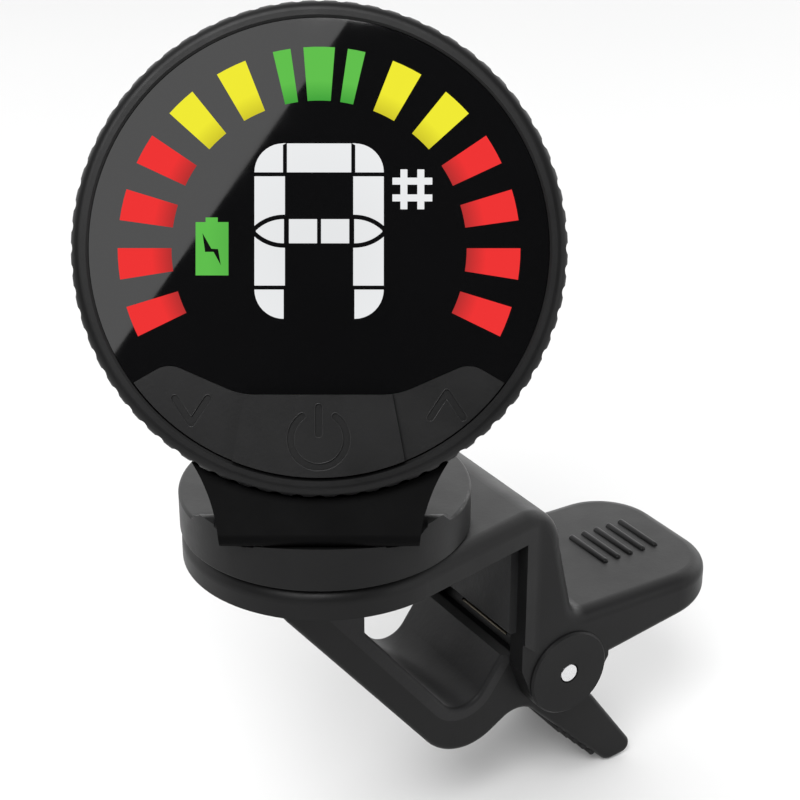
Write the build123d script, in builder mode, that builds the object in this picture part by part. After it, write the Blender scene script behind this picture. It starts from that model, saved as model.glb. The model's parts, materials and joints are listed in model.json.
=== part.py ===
from build123d import *
import os
from math import cos, radians, sin

# Clip-on instrument tuner, in millimetres.
# Origin: on the swivel axis, at the flat face of the upper jaw pad. +Z is up, along the swivel axis.
# +X runs from the mouth of the clip towards its hinge and thumb paddle, and the hinge pin lies along Y.

os.makedirs("parts", exist_ok=True)


def finish(piece, label):
    """Label a finished sub-part and write it."""
    piece.part.label = label
    export_step(piece.part, f"parts/{label}.step")


# ---------------------------------------------------------------- driving dimensions: clip
UPPER_PAD_T = 0.8          # rubber lining of the upper jaw
PLATE_T = 2.7              # plate that carries the turret
PLATE_R = 12.5             # round end of the plate
ARM_HALF = 9.1             # half width of the web and the paddle
SOFT_EDGE = 1.3            # outer edges of the plate, the web and the paddle
FOLD_X = 15.2              # where the plate turns down into the web
FOLD_R = 4.0
WEB_X = 15.0               # inner face of the web
PADDLE_END = 39.2
PADDLE_TOP = -8.55
PADDLE_UNDER_END = -11.6   # underside at the free end
PADDLE_UNDER_ROOT = -14.1  # underside beside the hinge
PADDLE_ROOT_X = 24.6
PIN_X = 20.2
PIN_Z = -14.4
PIN_R = 1.0
BOSS_R = 4.2
BOSS_PROUD = 0.32
BOSS_CHAMFER = 0.18
EAR_INNER = 7.15           # inner face of each ear
JAW_HALF = 7.0             # half width of the lower jaw
KNUCKLE_R = 3.9
SPRING_HALF = 3.75         # half width of the spring pocket
VALLEY_X = 10.05           # centre of the rounded valley of the lower jaw
VALLEY_Z = -13.4
VALLEY_R = 2.5
TIP_SLOPE = 51.5           # degrees, from the valley up to the tip
HINGE_SLOPE = 55.0         # degrees, from the valley up to the hinge
LOWER_PAD_T = 1.25
PAD_SOFT_EDGE = 0.4
JAW_SOFT_EDGE = 0.45
JAW_GAP = 0.05             # closed jaws, between the two pads

# ---------------------------------------------------------------- driving dimensions: turret
SWIVEL = -31.8             # degrees about Z, the way the head faces at rest
SEAM_GAP = 0.1
TURRET_R = 12.6
TURRET_H = 3.4
HUB_R = 3.0
HUB_CLEAR = 0.05
TILT_FORWARD = 8.0         # tilt pin, ahead of the swivel axis
TILT_RISE = 2.6            # tilt pin, above the plate
TILT_PIN_R = 0.75
EAR_KNUCKLE_R = 1.9
LUG_R = 1.8
LUG_IN = 4.8               # neck lugs, from here
LUG_OUT = 7.0              # to here, each side
EAR_OUT = 10.0
EAR_FLUSH = 8.75           # the ears run out flush to the wall from here outwards
EAR_END_SLOPE = 0.65       # the flush part slopes down to the top over this
TILT_PIN_HALF = 8.7
BACK_TILT_RISE = 3.4       # what the turret's top needs under the tilted neck

# ---------------------------------------------------------------- driving dimensions: head
LEAN = 25.5                # degrees that the face leans back at rest
FACE_AHEAD = 5.43          # face plane, ahead of the tilt pin
FACE_RISE = 23.46          # face centre, above the tilt pin along the face
HEAD_R = 19.94
RING_DEPTH = 5.2
SCALLOPS = 72
SCALLOP_R = 0.75
SCALLOP_DEEP = 0.19
SCALLOP_START = -0.32      # below the ring's lip
WINDOW_R = 18.45           # opening of the ring
LENS_CLEAR = 0.03
LENS_DROP = 0.32           # lens face, below the ring's lip
LENS_T = 1.0
LEDGE_R = 16.5
LEDGE_TOP = -1.55
LEDGE_BOTTOM = -3.4
KEY_GAP = 0.03
KEY_FACE = -0.3            # side keys
POWER_FACE = 0.35          # raised power key
KEY_FOOT = -2.2
SYMBOL_DEEP = 0.16         # engraved symbols on the keys
SYMBOL_W = 0.6
KEY_TRAVEL = 0.4
DOME_H = 0.3
PANEL_R = 16.3
BOARD_R = 17.2
BOARD_TOP = -4.1
BOARD_T = 0.8
STEM_END = BOARD_TOP + DOME_H + KEY_TRAVEL + 0.05
COVER_BACK = -8.8
COVER_WALL = 1.2
COVER_BACK_R = 15.5
COVER_RIM_R = 19.0
SPIGOT_R = 18.38
SCREW_RING_R = 17.1
SCREW_R = 0.55
POST_R = 1.15
STEM_R = 0.8
NECK_BOTTOM = -24.0
NECK_BOTTOM_REAR = -23.5
NECK_HALF = 8.05
NECK_REAR = -7.3
NECK_FRONT = -0.6
NECK_PLATE_FACE = -7.45
NECK_SCREW_X = 5.4
NECK_SCREW_Y = -14.0
PORT_W = 8.0               # charging port
PORT_H = 2.5
PORT_DEPTH = -6.3          # its centre, behind the face

# ---------------------------------------------------------------- frames
SEAM_Z = UPPER_PAD_T + PLATE_T
lateral = Vector(cos(radians(SWIVEL)), sin(radians(SWIVEL)), 0)
forward = Vector(sin(radians(SWIVEL)), -cos(radians(SWIVEL)), 0)
up = Vector(0, 0, 1)
face_normal = forward * cos(radians(LEAN)) + up * sin(radians(LEAN))
face_up = up * cos(radians(LEAN)) - forward * sin(radians(LEAN))
tilt_point = forward * TILT_FORWARD + up * (SEAM_Z + TILT_RISE)
head_origin = tilt_point + face_normal * FACE_AHEAD + face_up * FACE_RISE

side = Plane.XZ                                                           # x along X, y along Z
turret_top = Plane(origin=(0, 0, SEAM_Z + SEAM_GAP), x_dir=lateral, z_dir=up)
turret_side = Plane(origin=(0, 0, SEAM_Z), x_dir=forward, z_dir=-lateral)  # x forward, y up
turret_front = Plane(origin=(0, 0, SEAM_Z), x_dir=lateral, z_dir=forward)  # x lateral, y up
face = Plane(origin=head_origin, x_dir=lateral, z_dir=face_normal)
head_side = Plane(origin=head_origin, x_dir=face_normal, z_dir=-lateral)   # x ahead, y up the face
head_axis = Axis(head_origin, face_normal)
port_side = Plane(origin=head_origin + lateral * 13.2, x_dir=face_up, z_dir=lateral)  # y ahead of the face
PIN_AT = (PIN_X, PIN_Z)
TILT_AT = (TILT_FORWARD, TILT_RISE)
TILT_IN_HEAD = (-FACE_AHEAD, -FACE_RISE)


# ================================================================ clip: upper arm
ear_depth = ARM_HALF - EAR_INNER
taper_x = 16.5
with BuildPart() as upper_arm:
    # plate, fold, web and paddle, seen from the side
    with BuildSketch(side):
        with BuildLine():
            Polyline(
                (-PLATE_R, UPPER_PAD_T), (-PLATE_R, SEAM_Z), (FOLD_X, SEAM_Z),
            )
            RadiusArc((FOLD_X, SEAM_Z), (FOLD_X + FOLD_R, SEAM_Z - FOLD_R), FOLD_R)
            FilletPolyline(
                (FOLD_X + FOLD_R, SEAM_Z - FOLD_R), (21.0, PADDLE_TOP), (PADDLE_END, PADDLE_TOP),
                radius=1.6,
            )
            Polyline(
                (PADDLE_END, PADDLE_TOP), (PADDLE_END, PADDLE_UNDER_END),
                (PADDLE_ROOT_X, PADDLE_UNDER_ROOT), PIN_AT, (WEB_X, -9.7), (WEB_X, UPPER_PAD_T),
                (-PLATE_R, UPPER_PAD_T),
            )
        make_face()
    extrude(amount=PLATE_R, both=True)
    # trimmed to the plan: a disc that tapers to the fold, then straight to the paddle's round corners
    with BuildSketch(Plane.XY.offset(-20)):
        with BuildLine():
            tangent = 78.0
            start = (PLATE_R * cos(radians(tangent)), PLATE_R * sin(radians(tangent)))
            FilletPolyline(
                start, (taper_x, ARM_HALF), (PADDLE_END, ARM_HALF), (PADDLE_END, -ARM_HALF),
                (taper_x, -ARM_HALF), (start[0], -start[1]), radius=[3.0, 6.0, 6.0, 3.0],
            )
            ThreePointArc((start[0], -start[1]), (-PLATE_R, 0), start)
        make_face()
    extrude(amount=40, mode=Mode.INTERSECT)
    # soft edges all round the outside, and under the paddle
    walls = [f for f in upper_arm.faces() if abs(f.normal_at().Z) < 0.01 and abs(f.center().X - WEB_X) > 0.1]
    rim = [e for wall in walls for e in wall.edges() if abs((e % 0.5).Z) < 0.999]
    top_rim = [e for e in rim if e.center().Z > SEAM_Z - 0.2 or (e.center().X > 16.2 and e.center().Z > -9.5)]
    paddle_rim = [e for e in rim if e.center().X > PADDLE_ROOT_X and e.center().Z < -9.5]
    fillet(top_rim, SOFT_EDGE)
    fillet(paddle_rim, 0.5 * SOFT_EDGE)
    # the ears beside the hinge
    for ear in (-1, 1):
        with BuildSketch(side.offset(-ear * EAR_INNER)):
            with Locations(PIN_AT):
                Circle(BOSS_R)
            with BuildLine():
                FilletPolyline(
                    (WEB_X, -7.0), (WEB_X, -12.6), (16.4, -16.2), (PIN_X, -17.0), (24.2, -15.4),
                    (24.9, -14.2), (24.9, -10.0), (22.0, -10.0),
                    radius=[1.0, 0.6, 0.6, 0.6, 0.4, 0.6],
                )
                Line((22.0, -10.0), (WEB_X, -7.0))
            make_face()
        extrude(amount=-ear * ear_depth)
        with BuildSketch(side.offset(-ear * ARM_HALF)):
            with Locations(PIN_AT):
                Circle(BOSS_R)
        extrude(amount=-ear * (BOSS_PROUD - BOSS_CHAMFER))
        with BuildSketch(side.offset(-ear * (ARM_HALF + BOSS_PROUD - BOSS_CHAMFER))):
            with Locations(PIN_AT):
                Circle(BOSS_R)
        extrude(amount=-ear * BOSS_CHAMFER, taper=45)
    # room for the lower jaw's knuckles between the ears
    with BuildSketch(side):
        with Locations(PIN_AT):
            Circle(KNUCKLE_R + 0.25)
    extrude(amount=EAR_INNER, both=True, mode=Mode.SUBTRACT)
    # hinge pin bore
    with BuildSketch(side):
        with Locations(PIN_AT):
            Circle(PIN_R)
    extrude(amount=ARM_HALF + 1, both=True, mode=Mode.SUBTRACT)
    # swivel bore and the counterbore for the washer and screw head under it
    with BuildSketch(Plane.XY.offset(UPPER_PAD_T)):
        Circle(HUB_R + HUB_CLEAR)
    extrude(amount=PLATE_T + 1, mode=Mode.SUBTRACT)
    with BuildSketch(Plane.XY.offset(UPPER_PAD_T)):
        Circle(5.0)
    extrude(amount=1.5, mode=Mode.SUBTRACT)
finish(upper_arm, "upper_arm")

# rubber lining of the plate's underside and the web's inner face
upper_pad_half = 8.0
with BuildPart() as upper_pad:
    with BuildSketch(side):
        with BuildLine():
            FilletPolyline(
                (-11.4, 0), (WEB_X - UPPER_PAD_T, 0), (WEB_X - UPPER_PAD_T, -9.0), (WEB_X, -9.0),
                radius=[0.6, 0.35],
            )
            Polyline((WEB_X, -9.0), (WEB_X, UPPER_PAD_T), (-11.4, UPPER_PAD_T), (-11.4, 0))
        make_face()
    extrude(amount=upper_pad_half, both=True)
    with BuildSketch(Plane.XY.offset(-15)):
        Circle(11.3)
        with Locations((10, 0)):
            Rectangle(20, 2 * upper_pad_half)
    extrude(amount=20, mode=Mode.INTERSECT)
finish(upper_pad, "upper_pad")

# steel hinge pin, pressed into the ears
pin_half = ARM_HALF + BOSS_PROUD - 0.05
with BuildPart() as jaw_pin:
    with BuildSketch(side):
        with Locations(PIN_AT):
            Circle(PIN_R)
    extrude(amount=pin_half, both=True)
    chamfer(jaw_pin.edges().filter_by(GeomType.CIRCLE), 0.15)
finish(jaw_pin, "jaw_pin")

# torsion spring around the pin
wire_r = 0.4
coil_r = 2.85
coil_half = 3.2
with BuildPart() as torsion_spring:
    with BuildLine() as coil:
        Helix(
            pitch=2 * wire_r + 0.115, height=2 * coil_half, radius=coil_r,
            center=(PIN_X, -coil_half, PIN_Z), direction=(0, 1, 0),
        )
    with BuildSketch(Plane(origin=coil.line @ 0, z_dir=coil.line % 0)):
        Circle(wire_r)
    sweep()
    # the leg that bears on the paddle's underside
    leave = -65
    leg_at = (PIN_X + coil_r * cos(radians(leave)), -coil_half, PIN_Z + coil_r * sin(radians(leave)))
    leg_dir = (cos(radians(leave + 90)), 0, sin(radians(leave + 90)))
    with BuildSketch(Plane(origin=leg_at, z_dir=leg_dir)):
        Circle(wire_r)
    extrude(amount=7.3)
finish(torsion_spring, "torsion_spring")


# ================================================================ clip: lower jaw
def along(angle, distance, start):
    """The point at a distance from start, at an angle in degrees from local x."""
    return (start[0] + distance * cos(radians(angle)), start[1] + distance * sin(radians(angle)))


def valley(radius):
    """Both tangent points of the valley's arc and its lowest point."""
    centre = (VALLEY_X, VALLEY_Z)
    tip_side = along(270 - TIP_SLOPE, radius, centre)
    hinge_side = along(270 + HINGE_SLOPE, radius, centre)
    return tip_side, (VALLEY_X, VALLEY_Z - radius), hinge_side


def climb(start, angle, height):
    """The point on a straight slope from start, where it reaches a height."""
    return along(angle, (height - start[1]) / sin(radians(angle)), start)


tip_top = -JAW_GAP
pad_back_z = -12.1
tip_in, bottom_in, hinge_in = valley(VALLEY_R)
tip_seam, bottom_seam, hinge_seam = valley(VALLEY_R + LOWER_PAD_T)
seam_top = climb(tip_seam, 180 - TIP_SLOPE, tip_top)
lip_top = climb(tip_in, 180 - TIP_SLOPE, -4.4)
seam_back = climb(hinge_seam, HINGE_SLOPE, pad_back_z)
lip_back = climb(hinge_in, HINGE_SLOPE, pad_back_z + 0.3)
tail_end = (30.75, -28.1)
tail_slope = 45.8
tail_foot = (16.6, -17.65)
tail_tip = along(-tail_slope, 15.1, tail_foot)
rib_pitch = 1.45
with BuildPart() as lower_jaw:
    with BuildSketch(side):
        with BuildLine():
            ThreePointArc(tip_seam, bottom_seam, hinge_seam)
            Line(hinge_seam, seam_back)
            Polyline(seam_back, PIN_AT, (25.2, -20.2))
            FilletPolyline(
                (25.2, -20.2), tail_end, tail_tip, tail_foot, (9.34, -22.18), (-8.45, tip_top), seam_top,
                radius=[1.0, 1.3, 2.8, 5.2, 0.7],
            )
            Line(seam_top, tip_seam)
        make_face()
        with Locations(PIN_AT):
            Circle(KNUCKLE_R)
    extrude(amount=JAW_HALF, both=True)
    # soft outer edges, away from the pad and the knuckle
    flanks = [e for e in lower_jaw.edges() if abs(abs(e.center().Y) - JAW_HALF) < 0.01]
    back = [e for e in flanks if e.center().Z < bottom_seam[1] - 1.0 or e.center().X + 1.1 * e.center().Z < -9.5]
    fillet(back, JAW_SOFT_EDGE)
    # finger ribs under the tail
    with BuildSketch(side):
        with Locations([along(-tail_slope, 7.0 + rib * rib_pitch, tail_foot) for rib in range(5)]):
            Circle(0.4)
    extrude(amount=JAW_HALF - 0.3, both=True)
    # spring pocket between the two knuckles
    with BuildSketch(side):
        with Locations(PIN_AT):
            Circle(3.6)
        with Locations((PIN_X + 1.5, PIN_Z + 3.0)):
            Rectangle(9.5, 6.0)
        with Locations((PIN_X + 2.5, PIN_Z - 2.3)):
            Rectangle(5.2, 4.6)
    extrude(amount=SPRING_HALF, both=True, mode=Mode.SUBTRACT)
    # running bore of the hinge pin
    with BuildSketch(side):
        with Locations(PIN_AT):
            Circle(PIN_R + 0.06)
    extrude(amount=JAW_HALF + 1, both=True, mode=Mode.SUBTRACT)
finish(lower_jaw, "lower_jaw")

def pad_mouth(point):
    """Whether a point of the pad lies on its slopes or its valley, on the side of the mouth."""
    if abs(point.X - VALLEY_X) < 2 and point.Z < VALLEY_Z:
        return point.Z > VALLEY_Z - VALLEY_R - 0.1
    run = point.X - tip_in[0]
    on_tip_slope = abs(run * sin(radians(TIP_SLOPE)) + (point.Z - tip_in[1]) * cos(radians(TIP_SLOPE)))
    run = point.X - hinge_in[0]
    on_hinge_slope = abs(run * sin(radians(HINGE_SLOPE)) - (point.Z - hinge_in[1]) * cos(radians(HINGE_SLOPE)))
    return min(on_tip_slope, on_hinge_slope) < 0.05


# rubber pad of the lower jaw, from the tip to the back of the valley
with BuildPart() as lower_pad:
    with BuildSketch(side):
        with BuildLine():
            Line(seam_top, tip_seam)
            ThreePointArc(tip_seam, bottom_seam, hinge_seam)
            Line(hinge_seam, seam_back)
            Polyline(seam_back, lip_back, hinge_in)
            ThreePointArc(hinge_in, bottom_in, tip_in)
            Line(tip_in, lip_top)
            Polyline(lip_top, (lip_top[0], tip_top), seam_top)
        make_face()
    extrude(amount=JAW_HALF, both=True)
    # rounded along the mouth
    mouth = [f for f in lower_pad.faces() if abs(f.normal_at().Y) < 0.01 and pad_mouth(f.center())]
    mouth_rim = [e for f in mouth for e in f.edges() if abs(abs(e.center().Y) - JAW_HALF) < 0.01]
    fillet(mouth_rim, PAD_SOFT_EDGE)
finish(lower_pad, "lower_pad")


# ================================================================ turret
ear_in = LUG_OUT + 0.35
block_half = LUG_IN - 0.15
with BuildPart() as turret_cap:
    with BuildSketch(turret_top):
        Circle(TURRET_R)
    extrude(amount=TURRET_H)
    fillet(turret_cap.edges().group_by(Axis.Z)[-1], 0.25)
    fillet(turret_cap.edges().group_by(Axis.Z)[0], 0.12)
    # ears and centre knuckle that carry the tilt pin, cut flush with the wall
    with BuildSketch(turret_side):
        with Locations(TILT_AT):
            Circle(EAR_KNUCKLE_R)
    extrude(amount=TURRET_R, both=True)
    with BuildSketch(turret_top):
        Circle(TURRET_R)
    extrude(amount=10, mode=Mode.INTERSECT)
    # a rise along the front edge, under the neck's lip
    with BuildSketch(turret_side):
        with BuildLine():
            Polyline((10.9, 3.0), (10.9, 3.45), (TURRET_R, 4.05), (TURRET_R, 3.0), (10.9, 3.0))
        make_face()
    extrude(amount=6, both=True)
    with BuildSketch(turret_top.offset(-0.01)):
        Circle(TURRET_R)
    extrude(amount=10, mode=Mode.INTERSECT)
    for end in (-1, 1):
        # each ear's outer part, flush with the wall
        with BuildSketch(turret_side.offset(end * EAR_FLUSH)):
            with BuildLine():
                Polyline((6.6, 3.0), (6.6, 3.9), (8.0, 4.5), (10.5, 4.25), (10.5, 3.0), (6.6, 3.0))
            make_face()
        extrude(amount=end * (EAR_OUT + EAR_END_SLOPE - EAR_FLUSH))
        # pocket of each neck lug, open above
        with BuildSketch(turret_side.offset(end * block_half)):
            with Locations(TILT_AT):
                Circle(LUG_R + 0.2)
            with BuildLine():
                Polyline(
                    (4.1, 6.0), (4.1, 3.5), (6.5, 1.2), (8.0, 1.2), (9.9, 3.0), (11.4, 3.52), (11.4, 6.0),
                    (4.1, 6.0),
                )
            make_face()
        extrude(amount=end * (ear_in - block_half), mode=Mode.SUBTRACT)
        # each ear ends in a slope, and the wall beyond it stays at the height of the top
        top = TURRET_H + SEAM_GAP
        with BuildSketch(turret_front):
            with BuildLine():
                Polyline(
                    (end * EAR_OUT, 6), (end * EAR_OUT, top + 1), (end * (EAR_OUT + EAR_END_SLOPE), top),
                    (end * (TURRET_R + 1), top), (end * (TURRET_R + 1), 6), (end * EAR_OUT, 6),
                )
            make_face()
        extrude(amount=TURRET_R + 1, mode=Mode.SUBTRACT)
    with BuildSketch(turret_top.offset(-0.01)):
        Circle(TURRET_R)
    extrude(amount=10, mode=Mode.INTERSECT)
    # tilt pin bore
    with BuildSketch(turret_side):
        with Locations(TILT_AT):
            Circle(TILT_PIN_R)
    extrude(amount=TILT_PIN_HALF + 0.05, both=True, mode=Mode.SUBTRACT)
    # hub that turns in the plate, with the screw's pilot hole
    with BuildSketch(turret_top):
        Circle(HUB_R)
    extrude(amount=-1.25)
    with BuildSketch(turret_top.offset(-2)):
        Circle(1.2)
    extrude(amount=4.4, mode=Mode.SUBTRACT)
finish(turret_cap, "turret_cap")

with BuildPart() as tilt_pin:
    with BuildSketch(turret_side):
        with Locations(TILT_AT):
            Circle(TILT_PIN_R)
    extrude(amount=TILT_PIN_HALF, both=True)
finish(tilt_pin, "tilt_pin")

# friction washers between the neck's lugs and the ears
washer_clear = 0.04
with BuildPart() as tilt_washers:
    for end in (-1, 1):
        with BuildSketch(turret_side.offset(end * (LUG_OUT + washer_clear))):
            with Locations(TILT_AT):
                Circle(1.65)
                Circle(TILT_PIN_R + 0.02, mode=Mode.SUBTRACT)
        extrude(amount=end * (0.35 - washer_clear))
finish(tilt_washers, "tilt_washers")

washer_top = SEAM_Z - 1.2 - 0.03
with BuildPart() as swivel_washer:
    with BuildSketch(Plane.XY.offset(washer_top)):
        Circle(4.7)
        Circle(1.25, mode=Mode.SUBTRACT)
    extrude(amount=-0.35)
finish(swivel_washer, "swivel_washer")

with BuildPart() as swivel_screw:
    with BuildSketch(Plane.XY.offset(washer_top - 0.35)):
        Circle(2.4)
    extrude(amount=-0.9)
    with BuildSketch(Plane.XY.offset(washer_top - 0.35)):
        Circle(1.2)
    extrude(amount=3.9)
    cross_arm = 2.2
    with BuildSketch(Plane.XY.offset(washer_top - 1.25)):
        Rectangle(cross_arm, 0.5)
        Rectangle(0.5, cross_arm)
    extrude(amount=0.5, mode=Mode.SUBTRACT)
finish(swivel_screw, "swivel_screw")


# ================================================================ head: housing
# the keypad's upper outline, across the face
strip_points = [(-18.5, -12.86), (-12.1, -9.15), (-6.3, -11.68), (6.3, -11.68), (12.1, -9.15), (18.5, -12.86)]
strip_radii = [2.1, 6.0, 6.0, 2.1]


def below_strip(drop):
    """Face of everything under the keypad's outline, lowered by drop."""
    with BuildSketch() as region:
        with BuildLine():
            outline = [(x, y - drop) for x, y in strip_points]
            FilletPolyline(*outline, radius=strip_radii)
            Polyline(outline[-1], (18.5, -21), (-18.5, -21), outline[0])
        make_face()
    return region.sketch


with BuildPart() as bezel_ring:
    # smooth rounded lip, then the scalloped grip
    with BuildSketch(head_side):
        with BuildLine():
            Polyline((-0.18, WINDOW_R), (-RING_DEPTH, WINDOW_R), (-RING_DEPTH, HEAD_R), (-0.9, HEAD_R))
            RadiusArc((-0.9, HEAD_R), (0.0, HEAD_R - 0.9), 0.9)
            Polyline((0.0, HEAD_R - 0.9), (0.0, WINDOW_R + 0.18), (-0.18, WINDOW_R))
        make_face()
    revolve(axis=head_axis)
    with BuildSketch(face.offset(SCALLOP_START)):
        with PolarLocations(HEAD_R + SCALLOP_R - SCALLOP_DEEP, SCALLOPS):
            Circle(SCALLOP_R)
    extrude(amount=-RING_DEPTH, mode=Mode.SUBTRACT)
    # ledge that the lens rests on
    with BuildSketch(face.offset(LEDGE_TOP)):
        Circle(WINDOW_R + 0.2)
        Circle(LEDGE_R, mode=Mode.SUBTRACT)
    extrude(amount=LEDGE_BOTTOM - LEDGE_TOP)
    # the ledge is lower under the keys
    with BuildSketch(face.offset(LEDGE_TOP + 0.1)):
        Circle(WINDOW_R - 0.01)
        add(below_strip(-0.2), mode=Mode.INTERSECT)
    extrude(amount=KEY_FOOT - KEY_TRAVEL - 0.15 - LEDGE_TOP - 0.1, mode=Mode.SUBTRACT)
    # screw pilots
    with BuildSketch(face.offset(LEDGE_BOTTOM)):
        with PolarLocations(SCREW_RING_R, 3, start_angle=90):
            Circle(SCREW_R)
    extrude(amount=1.4, mode=Mode.SUBTRACT)
finish(bezel_ring, "bezel_ring")

with BuildPart() as display_lens:
    with BuildSketch(face.offset(-LENS_DROP)):
        Circle(WINDOW_R - LENS_CLEAR)
        add(below_strip(0), mode=Mode.SUBTRACT)
    extrude(amount=-LENS_T)
finish(display_lens, "display_lens")

panel_cut = -9.0
for label, top, thick in (("display_panel", -1.6, 0.8), ("light_guide", -2.45, 0.8)):
    with BuildPart() as layer:
        with BuildSketch(face.offset(top)):
            Circle(PANEL_R)
            with Locations((0, panel_cut - 10)):
                Rectangle(40, 20, mode=Mode.SUBTRACT)
        extrude(amount=-thick)
    finish(layer, label)

switch_places = {"key_down": (-9.8, -12.1), "key_power": (0, -13.0), "key_up": (9.8, -12.1)}
with BuildPart() as main_board:
    with BuildSketch(face.offset(BOARD_TOP)):
        Circle(BOARD_R)
        with PolarLocations(SCREW_RING_R, 3, start_angle=90):
            Circle(POST_R + 0.2, mode=Mode.SUBTRACT)
    extrude(amount=-BOARD_T)
finish(main_board, "main_board")

with BuildPart() as dome_switches:
    with BuildSketch(face.offset(BOARD_TOP)):
        with Locations(*switch_places.values()):
            Circle(1.5)
    extrude(amount=DOME_H, taper=30)
finish(dome_switches, "dome_switches")

# keys: one rubber strip cut into three, the centre key raised with hollow flanks
foot_top = 5.75
foot_low = 7.45
flank = 2.15
zone_run = 9.0
flank_rise = POWER_FACE - KEY_FACE
flank_r = (flank**2 + flank_rise**2) / (2 * flank_rise)


def key_zone(half_top, half_low):
    """Trapezium of the centre key, wider towards the rim."""
    with BuildSketch() as region:
        with BuildLine():
            Polyline(
                (-half_top, -11), (half_top, -11), (half_low, -11 - zone_run), (-half_low, -11 - zone_run),
                (-half_top, -11),
            )
        make_face()
    return region.sketch


key_round = WINDOW_R - 0.12
POWER_SIGN_AT = (0, -15.25)
POWER_SIGN_R = 2.24
POWER_SIGN_GAP = 36        # degrees each side of the top
ARROW_HALF_W = 1.32
ARROW_HALF_H = 1.0
ARROW_Y = {-1: -12.99, 1: -12.55}
with BuildPart() as key_power:
    with BuildSketch(face.offset(KEY_FOOT)):
        Circle(key_round)
        add(below_strip(KEY_GAP), mode=Mode.INTERSECT)
        add(key_zone(foot_top, foot_low), mode=Mode.INTERSECT)
    extrude(amount=POWER_FACE - KEY_FOOT)
    # hollow flanks, level with the side keys at the foot and steepest at the top
    for hand in (-1, 1):
        foot = face.offset(KEY_FACE).from_local_coords((hand * foot_top, -11, 0))
        down = (lateral * (hand * (foot_low - foot_top)) - face_up * zone_run).normalized()
        with BuildSketch(Plane(origin=foot, x_dir=-hand * down.cross(face_normal), z_dir=-hand * down)):
            with BuildLine():
                RadiusArc((0, 0), (flank, flank_rise), -flank_r)
                Polyline((flank, flank_rise), (flank, 2), (-1, 2), (-1, 0), (0, 0))
            make_face()
        extrude(amount=zone_run + 2, both=True, mode=Mode.SUBTRACT)
    with BuildSketch(face.offset(KEY_FOOT)):
        with Locations(switch_places["key_power"]):
            Circle(STEM_R)
    extrude(amount=STEM_END - KEY_FOOT)
    # engraved sign: an open ring and a bar
    with BuildSketch(face.offset(POWER_FACE)):
        with BuildLine():
            CenterArc(POWER_SIGN_AT, POWER_SIGN_R, 90 + POWER_SIGN_GAP, 360 - 2 * POWER_SIGN_GAP)
        trace(line_width=SYMBOL_W)
        ends = [along(90 + side_of * POWER_SIGN_GAP, POWER_SIGN_R, POWER_SIGN_AT) for side_of in (-1, 1)]
        with Locations(*ends):
            Circle(SYMBOL_W / 2)
        with Locations((0, -13.78)):
            SlotOverall(2.75, SYMBOL_W, rotation=90)
    extrude(amount=-SYMBOL_DEEP, mode=Mode.SUBTRACT)
finish(key_power, "key_power")

for label, hand in (("key_down", -1), ("key_up", 1)):
    with BuildPart() as key:
        with BuildSketch(face.offset(KEY_FOOT)):
            Circle(key_round)
            add(below_strip(KEY_GAP), mode=Mode.INTERSECT)
            add(key_zone(foot_top + KEY_GAP, foot_low + KEY_GAP), mode=Mode.SUBTRACT)
            with Locations((-hand * 15, -15)):
                Rectangle(30, 30, mode=Mode.SUBTRACT)
        extrude(amount=KEY_FACE - KEY_FOOT)
        with BuildSketch(face.offset(KEY_FOOT)):
            with Locations(switch_places[label]):
                Circle(STEM_R)
        extrude(amount=STEM_END - KEY_FOOT)
        # engraved arrow
        with BuildSketch(face.offset(KEY_FACE)):
            for foot in (-1, 1):
                arrow_foot = (hand * 10.22 + foot * ARROW_HALF_W, ARROW_Y[hand] - hand * ARROW_HALF_H)
                arrow_tip = (hand * 10.22, ARROW_Y[hand] + hand * ARROW_HALF_H)
                with BuildLine(mode=Mode.PRIVATE) as limb:
                    Line(arrow_foot, arrow_tip)
                trace(limb.line, line_width=SYMBOL_W)
                with Locations(arrow_foot, arrow_tip):
                    Circle(SYMBOL_W / 2)
        extrude(amount=-SYMBOL_DEEP, mode=Mode.SUBTRACT)
    finish(key, label)

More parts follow.
